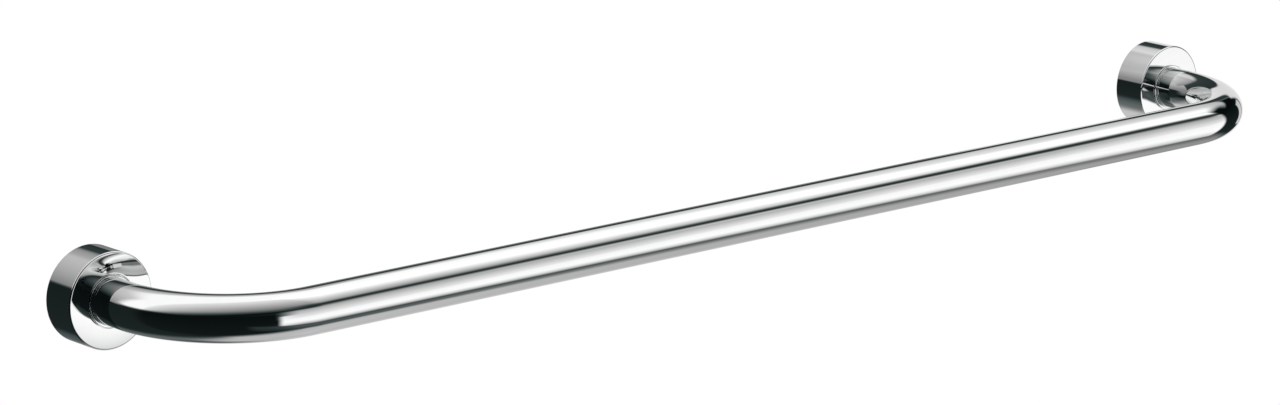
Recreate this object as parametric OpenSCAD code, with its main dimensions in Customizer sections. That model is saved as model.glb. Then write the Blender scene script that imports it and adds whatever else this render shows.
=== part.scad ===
// Wall-mounted towel rail: one bent chromed tube between two deep round rosettes.
// The back of the rosettes lies on the wall plane y = 0, the room is towards -Y and the bar runs along X.

/* [Rail] */
// Distance between the centres of the two rosettes
centre_distance = 800; // [400:10:1000]
// Distance from the wall to the axis of the bar
bar_projection = 100; // [98:1:140]
// Outer diameter of the rail tube
tube_d = 25; // [20:0.5:26]
// Wall of the rail tube
tube_wall = 1.5; // [1:0.1:2]
// Bend radius at the centre line of the tube
bend_r = 66; // [45:1:70]

/* [Rosette] */
// Outer diameter of a rosette
rosette_d = 51.5; // [50:0.5:60]
// Depth of a rosette from the wall to its face
rosette_h = 21; // [20:0.5:25]
// Side wall of a rosette
rosette_wall = 3; // [2.5:0.1:3.5]
// Thickness of the face of a rosette
face_t = 3; // [2.5:0.1:3.5]
// Rounding of the front edge of a rosette
rim_round = 1.2; // [0.4:0.1:2]
// Radial clearance of the hole that the tube passes through
hole_gap = 0.15; // [0.1:0.05:0.4]

/* [Neck ring] */
// Radial width of the ring round the tube
ring_w = 1.3; // [1:0.1:2]
// How far the ring stands out of the rosette's face
ring_proud = 0.7; // [0.4:0.1:1.5]
// How deep the ring is let into the rosette's face
ring_seat = 0.8; // [0.5:0.1:1.2]
// Open gap round the ring in its seat
ring_gap = 0.25; // [0.1:0.05:0.5]

/* [Ring nut and washer] */
// Radial width of the lock washer
washer_w = 4; // [3:0.1:5]
// Thickness of the lock washer
washer_t = 0.8; // [0.5:0.1:1.2]
// Number of teeth in the lock washer's bore
washer_teeth = 16; // [12:1:24]
// Radial width of the ring nut
nut_w = 4.5; // [4:0.1:5.5]
// Height of the ring nut
nut_h = 4; // [3:0.1:5]
// Number of spanner slots in the ring nut
nut_slots = 4; // [4:2:6]
// Threaded end of the tube that stands out of the ring nut
thread_tail = 0.7; // [0.5:0.1:1.5]

/* [Wall plate] */
// Height of the wall plate's rim
plate_h = 9; // [8.5:0.1:9.5]
// Thickness of the wall plate's floor
plate_floor = 3.5; // [3:0.1:4]
// Radial width of the wall plate's rim
plate_rim = 4; // [3.5:0.1:4.5]
// Radial clearance between the wall plate and the rosette
plate_gap = 0.15; // [0.1:0.05:0.3]
// Distance between the two wall screws of one plate
screw_spacing = 26; // [20:1:26]
// Diameter of the wall screw holes
screw_hole_d = 5.2; // [4.2:0.1:5.4]
// Head diameter of the countersunk wall screws
screw_head_d = 9.6; // [8.4:0.1:9.8]

/* [Set screw] */
// Thread diameter of the set screw under each rosette
set_d = 5; // [4:0.5:5]
// Distance of the set screw from the wall
set_z = 5; // [4.5:0.1:5.5]
// How deep the set screw's outer end lies below the rosette's surface
set_sunk = 0.5; // [0.2:0.1:1]
// Depth of the groove in the wall plate that the set screw's point enters
groove_depth = 2; // [1.5:0.1:2.2]
// Width across the flats of the set screw's socket
socket_af = 2.5; // [2:0.5:2.5]
// Depth of the set screw's socket
socket_depth = 2; // [1.5:0.1:2.2]

/* [Hidden] */
$fn = 96;
LEFT = -1;
RIGHT = 1;

// Small edges
fine_edge = 0.3;
seat_edge = 0.2;
ring_round = 0.4;
cavity_round = 1;
nut_chamfer = 0.6;
nut_slot_w = 4;
nut_slot_depth = 2;
tooth_gap_w = 1.2;
tooth_depth = 1.6;
lead_in = 0.8;
point_flat_r = 0.75;
point_gap = 0.05;
cut = 1;

// Radii
tube_r = tube_d / 2;
tube_bore_r = tube_r - tube_wall;
rosette_r = rosette_d / 2;
cavity_r = rosette_r - rosette_wall;
hole_r = tube_r + hole_gap;
ring_r = tube_r + ring_w;
ring_seat_r = ring_r + ring_gap;
washer_r = hole_r + washer_w;
nut_r = tube_r + nut_w;
plate_r = cavity_r - plate_gap;
plate_pocket_r = plate_r - plate_rim;
groove_r = plate_r - groove_depth;
set_r = set_d / 2;
set_out_r = rosette_r - set_sunk;
set_point_r = groove_r + point_flat_r + point_gap;

// Distances from the wall
cavity_h = rosette_h - face_t;
ring_back = rosette_h - ring_seat;
ring_front = rosette_h + ring_proud;
washer_back = cavity_h - washer_t;
nut_back = washer_back - nut_h;
tube_end = nut_back - thread_tail;
bend_start = bar_projection - bend_r;
neck_length = bend_start - tube_end;

// Length of the straight middle of the bar
bar_length = centre_distance - 2 * bend_r;
// Depth of a 90 degree countersink for the screw head
countersink = (screw_head_d - screw_hole_d) / 2;

// Puts what is drawn along +Z onto the wall at one end of the rail
module at_post(side) {
    translate([side * centre_distance / 2, 0, 0])
        rotate([90, 0, 0])
            children();
}

// Section of the tube
module tube_section() {
    difference() {
        circle(tube_r);
        circle(tube_bore_r);
    }
}

// What a round on an outer corner takes away, with the corner at the origin and the solid below and left of it
module corner_round(r) {
    difference() {
        translate([-r, -r])
            square(r + cut);
        translate([-r, -r])
            circle(r);
    }
}

// Straight neck, drawn along +Z from the bend to the chamfered threaded end
module neck() {
    linear_extrude(neck_length - fine_edge)
        tube_section();
    translate([0, 0, neck_length - fine_edge]) difference() {
        cylinder(h = fine_edge, r1 = tube_r, r2 = tube_r - fine_edge);
        translate([0, 0, -cut])
            cylinder(h = fine_edge + 2 * cut, r = tube_bore_r);
    }
}

// Left half of the rail, drawn from the centre of its bend: the bend, half of the bar and the neck
module half_rail() {
    translate([-bar_length / 2, -bend_start, 0]) {
        rotate_extrude(angle = 90, start = 180)
            translate([bend_r, 0])
                tube_section();
        translate([0, -bend_r, 0])
            rotate([0, 90, 0])
                linear_extrude(bar_length / 2)
                    tube_section();
        translate([-bend_r, 0, 0])
            rotate([-90, 0, 0])
                neck();
    }
}

// One tube, bent to the wall at both ends
module rail_tube() {
    color("gainsboro") {
        half_rail();
        mirror([1, 0, 0])
            half_rail();
    }
}

// Section of a rosette: a deep cup with a rounded front edge and a stepped hole for the neck ring
module rosette_section() {
    difference() {
        square([rosette_r, rosette_h]);
        translate([rosette_r, rosette_h])
            corner_round(rim_round);
        translate([rosette_r, 0])
            rotate(-90)
                corner_round(fine_edge);
        difference() {
            translate([0, -cut])
                square([cavity_r, cavity_h + cut]);
            translate([cavity_r, cavity_h])
                corner_round(cavity_round);
        }
        square([hole_r, rosette_h + cut]);
        translate([0, ring_back])
            square([ring_seat_r, ring_seat + cut]);
        translate([ring_seat_r, rosette_h])
            rotate(90)
                corner_round(seat_edge);
    }
}

// Turned rosette with the threaded hole for its set screw underneath
module rosette(side) {
    color("silver") at_post(side) difference() {
        rotate_extrude()
            rosette_section();
        translate([0, -rosette_r - cut, set_z])
            rotate([-90, 0, 0])
                cylinder(h = rosette_wall + 2 * cut, r = set_r);
    }
}

// Ring brazed round the tube, let into the rosette's face
module neck_ring(side) {
    color("whitesmoke") at_post(side) rotate_extrude() difference() {
        translate([tube_r, ring_back])
            square([ring_w, ring_seat + ring_proud]);
        translate([ring_r, ring_front])
            corner_round(ring_round);
    }
}

// Internal-tooth lock washer behind the face
module lock_washer(side) {
    color("darkgray") at_post(side) translate([0, 0, washer_back]) difference() {
        cylinder(h = washer_t, r = washer_r);
        translate([0, 0, -cut])
            cylinder(h = washer_t + 2 * cut, r = hole_r);
        for (i = [0 : washer_teeth - 1]) {
            rotate(i * 360 / washer_teeth)
                translate([0, -tooth_gap_w / 2, -cut])
                    cube([hole_r + tooth_depth, tooth_gap_w, washer_t + 2 * cut]);
        }
    }
}

// Ring nut on the tube's threaded end, with slots for a hook spanner
module ring_nut(side) {
    color("goldenrod") at_post(side) translate([0, 0, nut_back]) difference() {
        rotate_extrude()
            polygon([
                [tube_r, 0],
                [nut_r - nut_chamfer, 0],
                [nut_r, nut_chamfer],
                [nut_r, nut_h - nut_chamfer],
                [nut_r - nut_chamfer, nut_h],
                [tube_r, nut_h]
            ]);
        for (i = [0 : nut_slots - 1]) {
            rotate(i * 360 / nut_slots)
                translate([nut_r - nut_slot_depth, -nut_slot_w / 2, -cut])
                    cube([nut_slot_depth + cut, nut_slot_w, nut_h + 2 * cut]);
        }
    }
}

// Section of a wall plate: a floor with a rim, and the set screw's groove round the rim
module plate_section() {
    difference() {
        polygon([
            [0, 0],
            [plate_r, 0],
            [plate_r, plate_h - lead_in],
            [plate_r - lead_in, plate_h],
            [0, plate_h]
        ]);
        translate([0, plate_floor])
            square([plate_pocket_r, plate_h]);
        polygon([
            [groove_r, set_z],
            [plate_r, set_z - groove_depth],
            [plate_r + cut, set_z - groove_depth - cut],
            [plate_r + cut, set_z + groove_depth + cut],
            [plate_r, set_z + groove_depth]
        ]);
    }
}

// Hole through the plate's floor for a countersunk wall screw
module screw_hole() {
    translate([0, 0, -cut])
        cylinder(h = plate_floor + 2 * cut, d = screw_hole_d);
    translate([0, 0, plate_floor - countersink])
        cylinder(h = countersink, d1 = screw_hole_d, d2 = screw_head_d);
}

// Plate that is screwed to the wall and carries the rosette
module wall_plate(side) {
    color("slategray") at_post(side) difference() {
        rotate_extrude()
            plate_section();
        for (y = [-1, 1]) {
            translate([0, y * screw_spacing / 2, 0])
                screw_hole();
        }
    }
}

// Set screw with a cone point and a hexagon socket, pointing along +Z from its outer end
module set_screw() {
    length = set_out_r - set_point_r;
    difference() {
        rotate_extrude()
            polygon([
                [0, 0],
                [set_r - fine_edge, 0],
                [set_r, fine_edge],
                [set_r, length - (set_r - point_flat_r)],
                [point_flat_r, length],
                [0, length]
            ]);
        translate([0, 0, -cut])
            cylinder(h = socket_depth + cut, d = socket_af / cos(30), $fn = 6);
    }
}

// One set screw under each rosette, its point in the wall plate's groove
module set_screws() {
    color("dimgray") for (side = [LEFT, RIGHT]) {
        at_post(side)
            translate([0, -set_out_r, set_z])
                rotate([-90, 0, 0])
                    set_screw();
    }
}

rail_tube();
rosette(LEFT);  // left_rosette
rosette(RIGHT);  // right_rosette
neck_ring(LEFT);  // left_neck_ring
neck_ring(RIGHT);  // right_neck_ring
lock_washer(LEFT);  // left_lock_washer
lock_washer(RIGHT);  // right_lock_washer
ring_nut(LEFT);  // left_ring_nut
ring_nut(RIGHT);  // right_ring_nut
wall_plate(LEFT);  // left_wall_plate
wall_plate(RIGHT);  // right_wall_plate
set_screws();
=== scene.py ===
import math

import bmesh
import bpy
from mathutils import Matrix, Vector


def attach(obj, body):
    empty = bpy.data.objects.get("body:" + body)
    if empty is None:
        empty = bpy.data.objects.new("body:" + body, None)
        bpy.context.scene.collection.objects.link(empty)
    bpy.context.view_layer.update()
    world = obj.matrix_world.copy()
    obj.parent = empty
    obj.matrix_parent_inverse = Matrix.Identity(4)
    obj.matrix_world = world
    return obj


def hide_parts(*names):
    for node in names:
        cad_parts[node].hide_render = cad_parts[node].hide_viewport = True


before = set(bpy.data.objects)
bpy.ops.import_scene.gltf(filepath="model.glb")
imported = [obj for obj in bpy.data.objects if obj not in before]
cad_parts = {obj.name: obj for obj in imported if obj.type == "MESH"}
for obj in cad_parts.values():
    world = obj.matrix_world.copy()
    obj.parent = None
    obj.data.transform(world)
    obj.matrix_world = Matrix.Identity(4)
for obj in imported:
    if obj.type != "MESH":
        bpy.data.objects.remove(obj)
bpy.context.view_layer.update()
print("frame loaded")

# Camera at the photo's angle, in metres and degrees
cameraView = {
    "place": (-1.7407, -1.9150, 0.6205),
    "yaw": 41.927,
    "pitch": -13.797,
    "roll": 0.58,
    "lens": 132.03,
    "sensorWidth": 36.0,
    "clipEnd": 60,
}


def placeCamera():
    bpy.ops.object.camera_add(location=cameraView["place"])
    camera = bpy.context.object
    turn = Matrix.Rotation(math.radians(-cameraView["yaw"]), 4, "Z")
    tilt = Matrix.Rotation(math.radians(90 + cameraView["pitch"]), 4, "X")
    roll = Matrix.Rotation(math.radians(cameraView["roll"]), 4, "Z")
    camera.matrix_world = Matrix.Translation(cameraView["place"]) @ turn @ tilt @ roll
    camera.data.lens = cameraView["lens"]
    camera.data.sensor_width = cameraView["sensorWidth"]
    camera.data.clip_end = cameraView["clipEnd"]
    bpy.context.scene.camera = camera


placeCamera()
bpy.context.scene.view_settings.view_transform = "Standard"
print("camera placed")

# Sizes that the tube, the rosettes and the neck rings share, in metres
railSize = {
    "centreDistance": 0.800,
    "tubeRadius": 0.0125,
}
# How near counts as the same place, in metres
slack = {
    "merge": 0.000001,
    "face": 0.0001,
    "ring": 0.00004,
}
# Degrees past which an edge stays sharp, and how far large faces lead the normals (50 is neutral)
shading = {
    "sharpAngle": 30,
    "faceWeight": 100,
}


def deselectAll():
    bpy.ops.object.select_all(action="DESELECT")


def startEditing(kind):
    bpy.ops.object.mode_set(mode="EDIT")
    bpy.ops.mesh.select_mode(type=kind)
    bpy.ops.mesh.select_all(action="DESELECT")


def stopEditing():
    bpy.ops.object.mode_set(mode="OBJECT")


def selectEdges(piece, fits):
    mesh = bmesh.from_edit_mesh(piece.data)
    for edge in mesh.edges:
        edge.select = fits(edge)
    mesh.select_flush(True)
    bmesh.update_edit_mesh(piece.data)


def selectDisc(piece, height):
    # The one face with many corners that lies level at a height
    mesh = bmesh.from_edit_mesh(piece.data)
    for face in mesh.faces:
        away = abs(face.calc_center_median().z - height)
        face.select = away < slack["face"] and len(face.verts) > 4
    mesh.select_flush(False)
    bmesh.update_edit_mesh(piece.data)


def selectRing(piece, height, radius):
    # The edges of one circle round Z
    def onRing(vert):
        up = abs(vert.co.z - height)
        out = abs(math.hypot(vert.co.x, vert.co.y) - radius)
        return up < slack["ring"] and out < slack["ring"]

    selectEdges(piece, lambda edge: all(onRing(vert) for vert in edge.verts))


def bridgeOpenEdges(piece):
    bpy.ops.mesh.select_mode(type="EDGE")
    selectEdges(piece, lambda edge: len(edge.link_faces) == 1)
    bpy.ops.mesh.bridge_edge_loops()


def mergeAndTurnOutwards():
    bpy.ops.mesh.select_all(action="SELECT")
    bpy.ops.mesh.remove_doubles(threshold=slack["merge"])
    bpy.ops.mesh.normals_make_consistent(inside=False)


def applyPlace():
    bpy.ops.object.transform_apply(location=True, rotation=True, scale=True)


def applyModifiers(piece):
    bpy.context.view_layer.objects.active = piece
    for modifier in list(piece.modifiers):
        bpy.ops.object.modifier_apply(modifier=modifier.name)


def finishPiece(piece):
    # Doubles merged, faces outwards, place in the mesh, smooth between sharp edges
    deselectAll()
    piece.select_set(True)
    bpy.context.view_layer.objects.active = piece
    startEditing("VERT")
    mergeAndTurnOutwards()
    stopEditing()
    applyPlace()
    bpy.ops.object.shade_smooth_by_angle(angle=math.radians(shading["sharpAngle"]))
    # Flat faces and straight walls keep their own normals beside the small roundings
    weighted = piece.modifiers.new("weightedNormals", "WEIGHTED_NORMAL")
    weighted.mode = "FACE_AREA"
    weighted.weight = shading["faceWeight"]
    weighted.keep_sharp = True
    applyModifiers(piece)


def extrudeBy(x, y, z):
    bpy.ops.mesh.extrude_region_move(TRANSFORM_OT_translate={"value": (x, y, z)})


def widen(factor, centre, axis="Z"):
    # Scales the selection about a centre, and leaves it as it is along the axis
    value = tuple(1 if name == axis else factor for name in "XYZ")
    bpy.ops.transform.resize(value=value, center_override=centre)


def startTurned(sides, radius, base, height):
    # A round blank that stands on a level, open for editing
    deselectAll()
    bpy.ops.mesh.primitive_cylinder_add(
        vertices=sides, radius=radius, depth=height,
        location=(0, 0, base + height / 2), end_fill_type="NGON")
    piece = bpy.context.object
    applyPlace()
    startEditing("FACE")
    return piece


def carryTop(oldRadius, newRadius, height, rise):
    # One step of a turned profile: the selected round top goes up and in
    extrudeBy(0, 0, rise)
    widen(newRadius / oldRadius, (0, 0, height + rise))


def roundTop(radius, height, across, along, steps, turn=90):
    # Elliptical edge from an upright wall inwards and up
    angles = [math.radians(turn) * step / steps for step in range(steps + 1)]
    for old, new in zip(angles, angles[1:]):
        carryTop(radius - across * (1 - math.cos(old)), radius - across * (1 - math.cos(new)),
                 height + along * math.sin(old), along * (math.sin(new) - math.sin(old)))


def roundIntoBore(radius, height, across, along, steps):
    # Elliptical edge from a level face inwards and down
    angles = [math.pi / 2 * step / steps for step in range(steps + 1)]
    for old, new in zip(angles, angles[1:]):
        carryTop(radius - across * math.sin(old), radius - across * math.sin(new),
                 height - along * (1 - math.cos(old)), along * (math.cos(new) - math.cos(old)))


# The bent tube, in metres
tube = {
    "wall": 0.0015,
    "barFromWall": 0.100,
    "bendRadius": 0.066,
    "endFromWall": 0.0125,
    "endChamfer": 0.0003,
    "sides": 128,
    "bendSteps": 64,
}


def bendAround(x, y):
    # Takes the tube's open end through a quarter turn about an upright axis
    bpy.ops.mesh.spin(steps=tube["bendSteps"], angle=-math.pi / 2, center=(x, y, 0),
                      axis=(0, 0, 1))


def buildTube():
    side = railSize["centreDistance"] / 2
    radius = railSize["tubeRadius"]
    chamfer = tube["endChamfer"]
    endPlace = -tube["endFromWall"]
    bendStart = tube["barFromWall"] - tube["bendRadius"]
    bendCentre = side - tube["bendRadius"]
    deselectAll()
    bpy.ops.mesh.primitive_circle_add(
        vertices=tube["sides"], radius=radius - chamfer,
        location=(-side, endPlace, 0), rotation=(math.pi / 2, 0, 0))
    piece = bpy.context.object
    applyPlace()
    startEditing("VERT")
    bpy.ops.mesh.select_all(action="SELECT")
    # Left end: chamfer and straight neck
    extrudeBy(0, -chamfer, 0)
    widen(radius / (radius - chamfer), (-side, endPlace - chamfer, 0), "Y")
    extrudeBy(0, tube["endFromWall"] + chamfer - bendStart, 0)
    # Left bend, bar, right bend
    bendAround(-bendCentre, -bendStart)
    extrudeBy(2 * bendCentre, 0, 0)
    bendAround(bendCentre, -bendStart)
    # Right neck and its chamfer
    extrudeBy(0, bendStart - tube["endFromWall"] - chamfer, 0)
    extrudeBy(0, chamfer, 0)
    widen((radius - chamfer) / radius, (side, endPlace, 0), "Y")
    # Faces outwards before the wall gets its thickness, so that it grows inwards
    mergeAndTurnOutwards()
    stopEditing()
    wall = piece.modifiers.new("wall", "SOLIDIFY")
    wall.thickness = tube["wall"] - chamfer
    wall.offset = -1
    applyModifiers(piece)
    finishPiece(piece)
    return piece


rail = buildTube()
rail.name = "chromed_tube"
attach(rail, "root")
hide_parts("rail_tube")
print("tube", len(rail.data.polygons), [round(c, 4) for c in rail.dimensions])

# A rosette, turned round the tube's axis, in metres and degrees
rosette = {
    "radius": 0.02575,
    "depth": 0.021,
    "wall": 0.003,
    "face": 0.003,
    "rimAcross": 0.0010,
    "rimAlong": 0.0008,
    "rimTurn": 85,
    "rimSteps": 12,
    "domeDrop": 0.0004,
    "domeSteps": 12,
    "holeRadius": 0.01265,
    "seatRadius": 0.01405,
    "seatDepth": 0.0008,
    "seatEdge": 0.0001,
    "seatEdgeSteps": 2,
    "backEdge": 0.0003,
    "backEdgeSteps": 3,
    "cavityRound": 0.001,
    "cavityRoundSteps": 5,
    "screwRadius": 0.0025,
    "screwFromWall": 0.005,
    "screwSides": 48,
    "sides": 192,
}


def drillScrewHole(piece):
    # The hole for the set screw, through the side wall that ends up underneath
    deselectAll()
    bpy.ops.mesh.primitive_cylinder_add(
        vertices=rosette["screwSides"], radius=rosette["screwRadius"], depth=2 * rosette["wall"],
        location=(0, rosette["wall"] / 2 - rosette["radius"], rosette["screwFromWall"]),
        rotation=(math.pi / 2, 0, 0))
    drill = bpy.context.object
    cut = piece.modifiers.new("screwHole", "BOOLEAN")
    cut.operation = "DIFFERENCE"
    cut.solver = "EXACT"
    cut.object = drill
    applyModifiers(piece)
    bpy.data.objects.remove(drill)


def domeFace(faceRadius, faceEdge):
    # Level round the ring's seat, and steepest at the rim
    steps = rosette["domeSteps"]
    inwards = rosette["seatRadius"] - faceRadius
    radii = [faceRadius + inwards * step / steps for step in range(steps + 1)]
    rises = [rosette["domeDrop"] * (1 - (1 - step / steps) ** 2) for step in range(steps + 1)]
    for step in range(steps):
        carryTop(radii[step], radii[step + 1],
                 faceEdge + rises[step], rises[step + 1] - rises[step])


def buildRosette():
    depth = rosette["depth"]
    cavityRadius = rosette["radius"] - rosette["wall"]
    cavityDepth = depth - rosette["face"]
    turn = math.radians(rosette["rimTurn"])
    faceRadius = rosette["radius"] - rosette["rimAcross"] * (1 - math.cos(turn))
    faceEdge = depth - rosette["domeDrop"]
    side = faceEdge - rosette["rimAlong"] * math.sin(turn)
    piece = startTurned(rosette["sides"], rosette["radius"], 0, side)
    selectDisc(piece, side)
    roundTop(rosette["radius"], side, rosette["rimAcross"], rosette["rimAlong"],
             rosette["rimSteps"], rosette["rimTurn"])
    domeFace(faceRadius, faceEdge)
    # The ring's seat, the hole and the cavity behind the face
    extrudeBy(0, 0, -rosette["seatDepth"])
    bpy.ops.mesh.inset(thickness=rosette["seatRadius"] - rosette["holeRadius"])
    extrudeBy(0, 0, rosette["seatDepth"] - rosette["face"])
    extrudeBy(0, 0, 0)
    widen(cavityRadius / rosette["holeRadius"], (0, 0, cavityDepth))
    extrudeBy(0, 0, -cavityDepth)
    bpy.ops.mesh.delete(type="ONLY_FACE")
    # The back stays open: a level ring of faces joins the side wall to the cavity
    selectDisc(piece, 0)
    bpy.ops.mesh.delete(type="ONLY_FACE")
    bridgeOpenEdges(piece)
    for height, radius, size, steps in (
            (0, rosette["radius"], rosette["backEdge"], rosette["backEdgeSteps"]),
            (depth, rosette["seatRadius"], rosette["seatEdge"], rosette["seatEdgeSteps"]),
            (cavityDepth, cavityRadius, rosette["cavityRound"], rosette["cavityRoundSteps"])):
        bpy.ops.mesh.select_all(action="DESELECT")
        selectRing(piece, height, radius)
        bpy.ops.mesh.bevel(offset=size, segments=steps, affect="EDGES")
    stopEditing()
    drillScrewHole(piece)
    return piece


# The ring round the neck, let into the rosette's face, in metres from the wall
neckRing = {
    "radius": 0.0138,
    "back": 0.0202,
    "front": 0.0217,
    "outerAcross": 0.00025,
    "outerAlong": 0.00025,
    "innerAcross": 0.00015,
    "innerAlong": 0.00015,
    "edgeSteps": 8,
    "sides": 160,
}


def buildNeckRing():
    back = neckRing["back"]
    height = neckRing["front"] - back - neckRing["outerAlong"]
    boreRadius = railSize["tubeRadius"]
    topRadius = neckRing["radius"] - neckRing["outerAcross"]
    innerRadius = boreRadius + neckRing["innerAcross"]
    piece = startTurned(neckRing["sides"], neckRing["radius"], back, height)
    # Rounded outwards, then rounded down into the bore and through to the back
    selectDisc(piece, back + height)
    roundTop(neckRing["radius"], back + height, neckRing["outerAcross"],
             neckRing["outerAlong"], neckRing["edgeSteps"])
    bpy.ops.mesh.inset(thickness=topRadius - innerRadius)
    roundIntoBore(innerRadius, neckRing["front"], neckRing["innerAcross"],
                  neckRing["innerAlong"], neckRing["edgeSteps"])
    bpy.ops.mesh.delete(type="ONLY_FACE")
    selectDisc(piece, back)
    bpy.ops.mesh.inset(thickness=neckRing["radius"] - boreRadius)
    bpy.ops.mesh.delete(type="ONLY_FACE")
    bridgeOpenEdges(piece)
    stopEditing()
    return piece


def copyPiece(piece):
    twin = piece.copy()
    twin.data = piece.data.copy()
    bpy.context.collection.objects.link(twin)
    return twin


def placeOnWall(piece, side):
    # Local Z points from the wall into the room
    piece.rotation_euler = (math.pi / 2, 0, 0)
    piece.location = (side * railSize["centreDistance"] / 2, 0, 0)
    finishPiece(piece)


def fitBothEnds(build, pieceName, node):
    left = build()
    right = copyPiece(left)
    for piece, side, word in ((left, -1, "left"), (right, 1, "right")):
        placeOnWall(piece, side)
        piece.name = word + "_" + pieceName
        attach(piece, "root")
        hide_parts(word + "_" + node)
    print(pieceName, len(left.data.polygons), [round(c, 4) for c in left.dimensions])
    return left, right


rosettes = fitBothEnds(buildRosette, "deep_rosette", "rosette")
rings = fitBothEnds(buildNeckRing, "brazed_ring", "neck_ring")

# Node helpers, for the trees of materials, groups and the world alike


def plug(tree, socket, value):
    if hasattr(value, "is_output"):
        tree.links.new(value, socket)
    else:
        socket.default_value = value


def maths(tree, operation, *values):
    node = tree.nodes.new("ShaderNodeMath")
    node.operation = operation
    for socket, value in zip(node.inputs, values):
        plug(tree, socket, value)
    return node.outputs[0]


def plus(tree, first, second):
    return maths(tree, "ADD", first, second)


def minus(tree, first, second):
    return maths(tree, "SUBTRACT", first, second)


def times(tree, first, second):
    return maths(tree, "MULTIPLY", first, second)


def splitPlace(tree, place):
    node = tree.nodes.new("ShaderNodeSeparateXYZ")
    tree.links.new(place, node.inputs[0])
    return node.outputs


def mapRange(tree, value, fromLow, fromHigh, toLow=0.0, toHigh=1.0, curve="LINEAR"):
    node = tree.nodes.new("ShaderNodeMapRange")
    node.interpolation_type = curve
    for label, given in (("Value", value), ("From Min", fromLow), ("From Max", fromHigh),
                         ("To Min", toLow), ("To Max", toHigh)):
        plug(tree, node.inputs[label], given)
    return node.outputs[0]


def mixNumbers(tree, amount, first, second):
    # The Mix node keeps its number sockets at 0, 2 and 3
    node = tree.nodes.new("ShaderNodeMix")
    for number, given in zip((0, 2, 3), (amount, first, second)):
        plug(tree, node.inputs[number], given)
    return node.outputs[0]


def mixColours(tree, amount, first, second):
    # The Mix node keeps its colour sockets at 6 and 7, and puts the mix out at 2
    node = tree.nodes.new("ShaderNodeMix")
    node.data_type = "RGBA"
    plug(tree, node.inputs[0], amount)
    for number, colour in ((6, first), (7, second)):
        plug(tree, node.inputs[number], (*colour, 1) if isinstance(colour, tuple) else colour)
    return node.outputs[2]


def stretched(tree, place, scale, turn=(0, 0, 0)):
    node = tree.nodes.new("ShaderNodeMapping")
    node.inputs["Scale"].default_value = scale
    node.inputs["Rotation"].default_value = turn
    tree.links.new(place, node.inputs["Vector"])
    return node.outputs[0]


def noise(tree, place, scale, detail=2.0, roughness=0.5, distortion=0.0):
    node = tree.nodes.new("ShaderNodeTexNoise")
    tree.links.new(place, node.inputs["Vector"])
    for label, given in (("Scale", scale), ("Detail", detail), ("Roughness", roughness),
                         ("Distortion", distortion)):
        plug(tree, node.inputs[label], given)
    return node.outputs[0]


def newGroup(name, given, made):
    # Named inputs and outputs of a shared effect: a number for a value, "place" for a vector
    group = bpy.data.node_groups.new(name, "ShaderNodeTree")
    for label, value in given.items():
        kind = "NodeSocketVector" if value == "place" else "NodeSocketFloat"
        socket = group.interface.new_socket(label, in_out="INPUT", socket_type=kind)
        if value != "place":
            socket.default_value = value
    for label in made:
        group.interface.new_socket(label, in_out="OUTPUT", socket_type="NodeSocketFloat")
    inputs = group.nodes.new("NodeGroupInput").outputs
    outputs = group.nodes.new("NodeGroupOutput").inputs
    return group, inputs, outputs


def useGroup(tree, group, **given):
    # Names are written without their spaces: sideSoft is the socket Side Soft
    node = tree.nodes.new("ShaderNodeGroup")
    node.node_tree = group
    for socket in node.inputs:
        label = socket.name.replace(" ", "")
        label = label[0].lower() + label[1:]
        if label in given:
            plug(tree, socket, given[label])
    return node.outputs


# A slightly duller film where a cloth has wiped
wiping = {
    "stretch": (1, 2.5, 4),
    "streakDetail": 4.0,
    "streakRoughness": 0.6,
    "streakBend": 0.8,
    "streakShare": 0.75,
    "fineTimes": 9,
    "fineDetail": 3.0,
    "fineShare": 0.25,
    "middle": 0.5,
}


def buildWipeMarks():
    group, given, made = newGroup(
        "wipeMarks", {"Place": "place", "Scale": 30.0, "Spread": 0.15}, ("Mask",))
    streaks = noise(group, stretched(group, given["Place"], wiping["stretch"]), given["Scale"],
                    wiping["streakDetail"], wiping["streakRoughness"], wiping["streakBend"])
    fine = noise(group, given["Place"], times(group, given["Scale"], wiping["fineTimes"]),
                 wiping["fineDetail"])
    both = plus(group, times(group, streaks, wiping["streakShare"]),
                times(group, fine, wiping["fineShare"]))
    low = minus(group, wiping["middle"], given["Spread"])
    high = plus(group, wiping["middle"], given["Spread"])
    group.links.new(mapRange(group, both, low, high, curve="SMOOTHSTEP"), made["Mask"])
    return group


# Two sets of hair lines across each other
scratching = {
    "turns": ((0.5, 0.2, 0.9), (-0.4, 0.8, -0.6)),
    "stretch": (0.06, 3, 3),
    "detail": 3.0,
    "roughness": 0.7,
    "middle": 0.5,
    "lineWidth": 0.03,
}


def buildHairScratches():
    group, given, made = newGroup(
        "hairScratches", {"Place": "place", "Scale": 60.0}, ("Height", "Mask"))
    total = None
    for turn in scratching["turns"]:
        lines = noise(group, stretched(group, given["Place"], scratching["stretch"], turn),
                      given["Scale"], scratching["detail"], scratching["roughness"])
        away = maths(group, "ABSOLUTE", minus(group, lines, scratching["middle"]))
        line = mapRange(group, away, 0.0, scratching["lineWidth"], 1.0, 0.0)
        total = line if total is None else maths(group, "MAXIMUM", total, line)
    group.links.new(total, made["Mask"])
    group.links.new(minus(group, 1, total), made["Height"])
    return group


# Rings round the axis of the nearer rosette, as a lathe tool leaves them
turning = {
    "waveShare": 0.5,
    "shakeScale": 900.0,
    "shakeDetail": 2.0,
}


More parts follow.
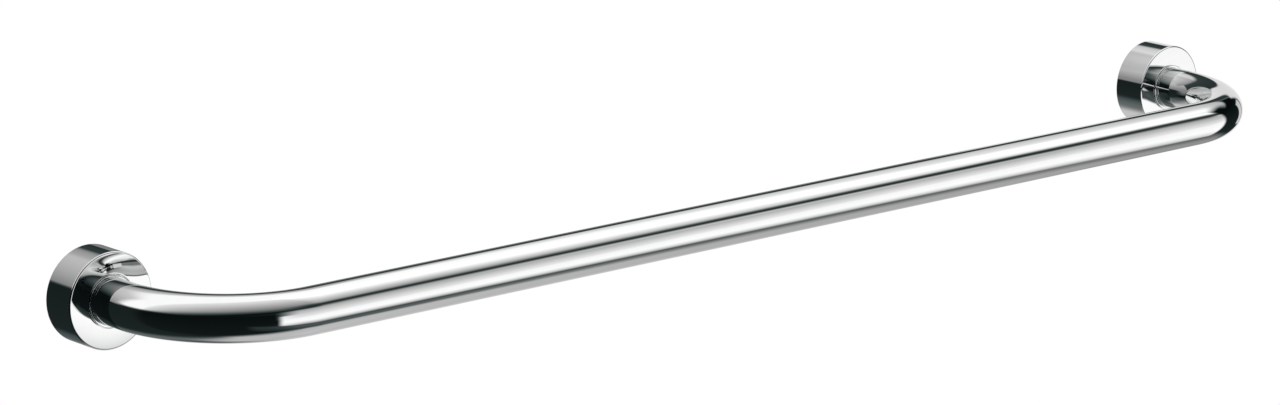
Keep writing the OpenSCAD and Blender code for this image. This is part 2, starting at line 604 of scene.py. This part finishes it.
def buildTurnedRings():
    group, given, made = newGroup(
        "turnedRings", {"Place": "place", "Side": 0.4, "Pitch": 0.0005},
        ("Height", "Radius", "From Wall"))
    part = splitPlace(group, given["Place"])
    across = minus(group, maths(group, "ABSOLUTE", part["X"]), given["Side"])
    radius = maths(group, "SQRT", plus(group, times(group, across, across),
                                       times(group, part["Z"], part["Z"])))
    fromWall = times(group, part["Y"], -1)
    turns = maths(group, "DIVIDE", plus(group, radius, fromWall), given["Pitch"])
    wave = maths(group, "SINE", times(group, turns, 2 * math.pi))
    shake = noise(group, given["Place"], turning["shakeScale"], turning["shakeDetail"])
    group.links.new(plus(group, times(group, wave, turning["waveShare"]), shake), made["Height"])
    group.links.new(radius, made["Radius"])
    group.links.new(fromWall, made["From Wall"])
    return group


# Orange peel and small pits of a die casting, and clouds in its colour
casting = {
    "peelDetail": 3.0,
    "peelRoughness": 0.6,
    "peelShare": 0.6,
    "pitTimes": 0.5,
    "pitFloor": 0.05,
    "pitEdge": 0.22,
    "pitShare": 0.4,
    "cloudTimes": 0.12,
    "cloudDetail": 4.0,
    "cloudRoughness": 0.55,
    "cloudBend": 0.4,
    "cloudLow": 0.35,
    "cloudHigh": 0.65,
}


def buildCastGrain():
    group, given, made = newGroup(
        "castGrain", {"Place": "place", "Scale": 1500.0}, ("Height", "Mask"))
    peel = noise(group, given["Place"], given["Scale"], casting["peelDetail"],
                 casting["peelRoughness"])
    clouds = noise(group, given["Place"], times(group, given["Scale"], casting["cloudTimes"]),
                   casting["cloudDetail"], casting["cloudRoughness"], casting["cloudBend"])
    pits = group.nodes.new("ShaderNodeTexVoronoi")
    group.links.new(given["Place"], pits.inputs["Vector"])
    plug(group, pits.inputs["Scale"], times(group, given["Scale"], casting["pitTimes"]))
    pit = mapRange(group, pits.outputs["Distance"], casting["pitFloor"], casting["pitEdge"],
                   curve="SMOOTHSTEP")
    group.links.new(plus(group, times(group, peel, casting["peelShare"]),
                         times(group, pit, casting["pitShare"])), made["Height"])
    group.links.new(mapRange(group, clouds, casting["cloudLow"], casting["cloudHigh"],
                             curve="SMOOTHSTEP"), made["Mask"])
    return group


wipeMarks = buildWipeMarks()
hairScratches = buildHairScratches()
turnedRings = buildTurnedRings()
castGrain = buildCastGrain()
print("shared effects built")


def newMetal(name):
    material = bpy.data.materials.new(name)
    material.use_nodes = True
    tree = material.node_tree
    shader = tree.nodes["Principled BSDF"]
    shader.inputs["Metallic"].default_value = 1
    place = tree.nodes.new("ShaderNodeTexCoord").outputs["Object"]
    return material, tree, shader, place


def dressMetal(tree, shader, colour, rough, height, depth):
    # Colour, roughness, and a bump of its real depth in metres
    tree.links.new(colour, shader.inputs["Base Color"])
    tree.links.new(rough, shader.inputs["Roughness"])
    bump = tree.nodes.new("ShaderNodeBump")
    bump.inputs["Distance"].default_value = depth
    tree.links.new(height, bump.inputs["Height"])
    tree.links.new(bump.outputs["Normal"], shader.inputs["Normal"])


def wipedFilm(tree, place, metal):
    return useGroup(tree, wipeMarks, place=place, scale=metal["filmScale"],
                    spread=metal["filmSpread"])["Mask"]


# Chrome plating over brass, polished outside and bare inside the tube's end
plating = {
    "bright": (0.87, 0.875, 0.875),
    "filmed": (0.85, 0.86, 0.862),
    "bareBrass": (0.68, 0.54, 0.30),
    "roughBright": 0.012,
    "roughFilmed": 0.035,
    "roughInside": 0.35,
    "filmScale": 28.0,
    "filmSpread": 0.12,
    "boreRadius": 0.0118,
    "boreDepth": 0.034,
    "cavityRadius": 0.0228,
    "cavityDepth": 0.0181,
    "rippleScale": 45.0,
    "rippleDetail": 1.0,
    "rippleDepth": 0.000012,
}


def chromePlating():
    material, tree, shader, place = newMetal("chromePlating")
    film = wipedFilm(tree, place, plating)
    turned = useGroup(tree, turnedRings, place=place, side=railSize["centreDistance"] / 2)

    def within(radius, depth):
        # 1 in the round hole of this radius and depth from the wall, 0 elsewhere
        return times(tree, maths(tree, "LESS_THAN", turned["Radius"], radius),
                     maths(tree, "LESS_THAN", turned["From Wall"], depth))

    # The tube's bore and the rosette's cavity aren't polished
    bore = within(plating["boreRadius"], plating["boreDepth"])
    cavity = within(plating["cavityRadius"], plating["cavityDepth"])
    outside = mixColours(tree, film, plating["bright"], plating["filmed"])
    colour = mixColours(tree, bore, outside, plating["bareBrass"])
    polished = mixNumbers(tree, film, plating["roughBright"], plating["roughFilmed"])
    rough = mixNumbers(tree, maths(tree, "MAXIMUM", bore, cavity), polished,
                       plating["roughInside"])
    ripple = noise(tree, place, plating["rippleScale"], plating["rippleDetail"])
    dressMetal(tree, shader, colour, rough, ripple, plating["rippleDepth"])
    return material


# Blued spring steel of the lock washers
springSteel = {
    "light": (0.33, 0.34, 0.37),
    "dark": (0.17, 0.19, 0.25),
    "roughLow": 0.28,
    "roughHigh": 0.45,
    "filmScale": 120.0,
    "filmSpread": 0.2,
    "scratchScale": 150.0,
    "scratchWear": 0.5,
    "scratchDepth": 0.00001,
}


def springSteelMaterial():
    material, tree, shader, place = newMetal("bluedSpringSteel")
    film = wipedFilm(tree, place, springSteel)
    lines = useGroup(tree, hairScratches, place=place, scale=springSteel["scratchScale"])
    blued = mixColours(tree, film, springSteel["dark"], springSteel["light"])
    colour = mixColours(tree, times(tree, lines["Mask"], springSteel["scratchWear"]), blued,
                        springSteel["light"])
    rough = mixNumbers(tree, film, springSteel["roughLow"], springSteel["roughHigh"])
    dressMetal(tree, shader, colour, rough, lines["Height"], springSteel["scratchDepth"])
    return material


# Turned brass of the ring nuts, a little tarnished
turnedBrass = {
    "fresh": (0.80, 0.62, 0.30),
    "tarnished": (0.60, 0.43, 0.20),
    "roughLow": 0.20,
    "roughHigh": 0.40,
    "filmScale": 90.0,
    "filmSpread": 0.2,
    "ringPitch": 0.0004,
    "ringDepth": 0.00001,
}


def turnedBrassMaterial():
    material, tree, shader, place = newMetal("turnedBrass")
    film = wipedFilm(tree, place, turnedBrass)
    turned = useGroup(tree, turnedRings, place=place, side=railSize["centreDistance"] / 2,
                      pitch=turnedBrass["ringPitch"])
    colour = mixColours(tree, film, turnedBrass["fresh"], turnedBrass["tarnished"])
    rough = mixNumbers(tree, film, turnedBrass["roughLow"], turnedBrass["roughHigh"])
    dressMetal(tree, shader, colour, rough, turned["Height"], turnedBrass["ringDepth"])
    return material


# Die-cast zinc of the wall plates
zincCasting = {
    "light": (0.58, 0.59, 0.60),
    "dark": (0.49, 0.50, 0.52),
    "roughLow": 0.42,
    "roughHigh": 0.62,
    "grainScale": 1500.0,
    "grainDepth": 0.00006,
}


def zincCastingMaterial():
    material, tree, shader, place = newMetal("zincCasting")
    grain = useGroup(tree, castGrain, place=place, scale=zincCasting["grainScale"])
    colour = mixColours(tree, grain["Mask"], zincCasting["light"], zincCasting["dark"])
    rough = mixNumbers(tree, grain["Mask"], zincCasting["roughLow"], zincCasting["roughHigh"])
    dressMetal(tree, shader, colour, rough, grain["Height"], zincCasting["grainDepth"])
    return material


# Stainless steel of the set screws, with the turns of their thread
stainless = {
    "light": (0.66, 0.65, 0.63),
    "dark": (0.50, 0.49, 0.48),
    "roughLow": 0.20,
    "roughHigh": 0.36,
    "filmScale": 200.0,
    "filmSpread": 0.2,
    "scratchScale": 260.0,
    "threadPitch": 0.0008,
    "threadDepth": 0.00015,
}


def stainlessMaterial():
    material, tree, shader, place = newMetal("stainlessScrew")
    film = wipedFilm(tree, place, stainless)
    along = splitPlace(tree, place)["Z"]
    turns = maths(tree, "PINGPONG", maths(tree, "DIVIDE", along, stainless["threadPitch"]), 0.5)
    lines = useGroup(tree, hairScratches, place=place, scale=stainless["scratchScale"])
    worn = maths(tree, "MAXIMUM", film, lines["Mask"])
    colour = mixColours(tree, worn, stainless["light"], stainless["dark"])
    rough = mixNumbers(tree, worn, stainless["roughLow"], stainless["roughHigh"])
    dressMetal(tree, shader, colour, rough, turns, stainless["threadDepth"])
    return material


chrome = chromePlating()
finishes = {
    "lock_washer": springSteelMaterial(),
    "ring_nut": turnedBrassMaterial(),
    "wall_plate": zincCastingMaterial(),
    "set_screws": stainlessMaterial(),
}


def setMaterial(piece, material):
    piece.data.materials.clear()
    piece.data.materials.append(material)


for piece in (rail, *rosettes, *rings):
    setMaterial(piece, chrome)
# A CAD node whose finish isn't listed is chrome under its replacement
for name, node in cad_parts.items():
    kind = name.replace("left_", "").replace("right_", "")
    setMaterial(node, finishes.get(kind, chrome))
print("materials set")

# Painted reflections: a shell round the rail glows with greys painted on it as cards and flags, and
# only the metal sees it.
# Azimuth is 0 on the room side and 90 on the right. A card has level edges at the azimuth it faces.
paintedStudio = {
    "radius": 1.05,
    "segments": 96,
    "rings": 48,
    "ceiling": 1.10,
    "ground": 0.55,
    "groundEdge": -24,
    "groundSoft": 7,
    "blackest": 0.004,
    "darkRed": 0.65,
    "neutralFrom": 0.22,
    "blueShare": 0.995,
}
# What the numbers of a card are: degrees, then the grey at its low and high edge
cardLabels = ("facing", "middle", "halfWidth", "sideSoft", "low", "high", "lowSoft", "highSoft",
              "greyLow", "greyHigh")
studioCards = {
    "frontFalloff": (-10, -55, 65, 30, 26, 80, 30, 10, 0.0, 0.8),
    "ceilingRight": (-20, 80, 40, 40, 55, 90, 15, 30, 0.35, 1.3),
    "backLow": (180, 180, 70, 20, -60, 20, 20, 20, 0.0, 0.28),
    "leftGround": (-120, -130, 55, 15, -60, -25, 20, 30, 0.15, 0.0),
    "leftDark": (-90, -95, 55, 20, -50, 11, 20, 6, 0.02, 0.015),
    "leftGrey": (-160, -148, 27, 10, 16, 40, 3, 14, 0.28, 0.62),
    "leftFrontDark": (-30, -45, 50, 10, -50, 15, 20, 25, 0.01, 0.005),
    "frontGround": (20, 15, 50, 10, -50, -40, 10, 10, 0.03, 0.04),
    "groundGrey": (95, 95, 30, 40, -75, -35, 20, 15, 0.6, 0.4),
    "gapAbove": (5, 40, 30, 40, 34, 37, 15, 10, 0.02, 0.06),
    "frontCard": (25, 28, 45, 6, -32, 8, 7, 6, 1.2, 1.0),
    "frontCardTop": (5, 32, 35, 22, -4, 21, 1, 8, 0.95, 0.5),
    "gapBelow": (30, 30, 25, 40, -34, -45, 27, 28, 0.03, 0.14),
    "rightDark": (75, 87, 14, 4, -20, 21, 18, 10, 0.02, 0.0),
    "wallGlow": (130, 118, 22, 15, 24, 44, 3, 8, 0.55, 0.85),
    "wallGrey": (170, 170, 24, 12, 33, 45, 3, 15, 0.28, 0.55),
    "wallArch": (160, 142, 38, 4, 15, 31, 3, 5, 0.03, 0.05),
    "rightBright": (110, 113, 11, 4, -14, 11, 10, 2, 0.9, 0.75),
    "lightStrip": (95, 95, 2.5, 1.5, -12, 5, 2, 2, 0.7, 0.6),
    "groundRight": (190, 140, 5, 40, -85, -35, 10, 30, 0.5, 0.7),
}


def buildPaintedStudioCard():
    # Lays one painted reflection card over the painted grey that is there already
    group, given, made = newGroup("studioCard", {
        "Place": "place", "Azimuth": 0.0, "Under": 0.0, "Facing": 0.0,
        "Middle": 0.0, "Half Width": 10.0, "Side Soft": 1.0,
        "Low": 0.0, "High": 10.0, "Low Soft": 1.0, "High Soft": 1.0,
        "Grey Low": 0.0, "Grey High": 1.0}, ("Grey",))
    part = splitPlace(group, given["Place"])
    facing = maths(group, "RADIANS", given["Facing"])
    ahead = minus(group, times(group, maths(group, "SINE", facing), part["X"]),
                  times(group, maths(group, "COSINE", facing), part["Y"]))
    height = maths(group, "DEGREES", maths(group, "ARCTAN2", part["Z"], ahead))
    turn = minus(group, given["Azimuth"], given["Middle"])
    away = maths(group, "ABSOLUTE", maths(group, "WRAP", turn, 180.0, -180.0))
    side = mapRange(group, away, given["Half Width"],
                    plus(group, given["Half Width"], given["Side Soft"]), 1.0, 0.0, "SMOOTHSTEP")
    low = mapRange(group, height, minus(group, given["Low"], given["Low Soft"]), given["Low"],
                   curve="SMOOTHSTEP")
    high = mapRange(group, height, given["High"], plus(group, given["High"], given["High Soft"]),
                    1.0, 0.0, "SMOOTHSTEP")
    mask = times(group, times(group, side, low), high)
    grey = mapRange(group, height, given["Low"], given["High"], given["Grey Low"],
                    given["Grey High"])
    group.links.new(mixNumbers(group, mask, given["Under"], grey), made["Grey"])
    return group


def paintedStudioMaterial():
    material = bpy.data.materials.new("studioCards")
    material.use_nodes = True
    tree = material.node_tree
    tree.nodes.clear()
    place = tree.nodes.new("ShaderNodeTexCoord").outputs["Object"]
    unit = tree.nodes.new("ShaderNodeVectorMath")
    unit.operation = "NORMALIZE"
    tree.links.new(place, unit.inputs[0])
    part = splitPlace(tree, unit.outputs[0])
    azimuth = maths(tree, "DEGREES", maths(tree, "ARCTAN2", part["X"], times(tree, part["Y"], -1)))
    elevation = maths(tree, "DEGREES", maths(tree, "ARCSINE", part["Z"]))
    grey = mapRange(tree, elevation, paintedStudio["groundEdge"] - paintedStudio["groundSoft"],
                    paintedStudio["groundEdge"], paintedStudio["ground"], paintedStudio["ceiling"], "SMOOTHSTEP")
    group = buildPaintedStudioCard()
    for card in studioCards.values():
        grey = useGroup(tree, group, place=unit.outputs[0], azimuth=azimuth, under=grey,
                        **dict(zip(cardLabels, card)))["Grey"]
    grey = maths(tree, "MAXIMUM", grey, paintedStudio["blackest"])
    # Dark greys are slightly cool, light ones neutral
    redShare = mapRange(tree, grey, 0.0, paintedStudio["neutralFrom"], paintedStudio["darkRed"], 1.0)
    colour = tree.nodes.new("ShaderNodeCombineColor")
    for socket, share in zip(colour.inputs, (redShare, 1.0, paintedStudio["blueShare"])):
        plug(tree, socket, times(tree, grey, share))
    # The shell glows with the painted greys, though it is no lamp
    light = tree.nodes.new("ShaderNodeEmission")
    tree.links.new(colour.outputs[0], light.inputs["Color"])
    out = tree.nodes.new("ShaderNodeOutputMaterial")
    tree.links.new(light.outputs[0], out.inputs["Surface"])
    return material


def buildPaintedStudio():
    deselectAll()
    bpy.ops.mesh.primitive_uv_sphere_add(segments=paintedStudio["segments"], ring_count=paintedStudio["rings"],
                                         radius=paintedStudio["radius"])
    shell = bpy.context.object
    shell.name = "studio_shell"
    bpy.ops.object.shade_smooth()
    setMaterial(shell, paintedStudioMaterial())
    # Only the metal sees the cards, as painted reflections
    shell.visible_camera = False
    shell.visible_diffuse = False
    shell.visible_shadow = False
    shell.visible_transmission = False


buildPaintedStudio()
print("studio built")

# Pale floor far below the rail, which fades into the white background
floor = {
    "height": -1.1,
    "size": 6.0,
    "colour": (0.80, 0.80, 0.80),
    "speck": (0.77, 0.77, 0.77),
    "speckScale": 12.0,
    "speckDetail": 4.0,
    "roughness": 0.7,
    "fadeFrom": 1.0,
    "fadeTo": 2.2,
}


def floorMaterial():
    material = bpy.data.materials.new("paleFloor")
    material.use_nodes = True
    tree = material.node_tree
    shader = tree.nodes["Principled BSDF"]
    shader.inputs["Roughness"].default_value = floor["roughness"]
    place = tree.nodes.new("ShaderNodeTexCoord").outputs["Object"]
    specks = noise(tree, place, floor["speckScale"], floor["speckDetail"])
    tree.links.new(mixColours(tree, specks, floor["colour"], floor["speck"]),
                   shader.inputs["Base Color"])
    distance = tree.nodes.new("ShaderNodeVectorMath")
    distance.operation = "LENGTH"
    tree.links.new(place, distance.inputs[0])
    fade = mapRange(tree, distance.outputs["Value"], floor["fadeFrom"], floor["fadeTo"],
                    1.0, 0.0, "SMOOTHSTEP")
    tree.links.new(fade, shader.inputs["Alpha"])
    return material


def buildFloor():
    deselectAll()
    bpy.ops.mesh.primitive_plane_add(size=floor["size"], location=(0, 0, floor["height"]))
    plane = bpy.context.object
    plane.name = "pale_floor"
    setMaterial(plane, floorMaterial())


buildFloor()

# Soft light from above the room and from its left, aimed at the middle of the rail
lamps = {
    "overhead": {"place": (0.2, -1.4, 2.4), "size": 2.0, "power": 36.0},
    "left": {"place": (-2.4, -1.2, 1.0), "size": 1.6, "power": 17.0},
}


def placeLamps():
    for name, lamp in lamps.items():
        bpy.ops.object.light_add(type="AREA", location=lamp["place"])
        light = bpy.context.object
        light.name = name + "_lamp"
        light.data.size = lamp["size"]
        light.data.energy = lamp["power"]
        light.rotation_euler = (-Vector(lamp["place"])).to_track_quat("-Z", "Y").to_euler()
        # The metal sees the painted reflections of the glowing shell instead
        light.visible_glossy = False


placeLamps()

# White background for the eye and the metal, plain light for all else
world = {
    "seen": 1.0,
    "light": 0.65,
}


def buildWorld():
    sky = bpy.data.worlds.new("paleStudio")
    bpy.context.scene.world = sky
    sky.use_nodes = True
    tree = sky.node_tree
    path = tree.nodes.new("ShaderNodeLightPath").outputs
    seen = plus(tree, path["Is Camera Ray"],
                plus(tree, path["Is Glossy Ray"], path["Is Transmission Ray"]))
    back = tree.nodes["Background"]
    back.inputs["Color"].default_value = (1, 1, 1, 1)
    tree.links.new(mapRange(tree, seen, 0.0, 1.0, world["light"], world["seen"]),
                   back.inputs["Strength"])


buildWorld()
print("floor, lamps and world set")
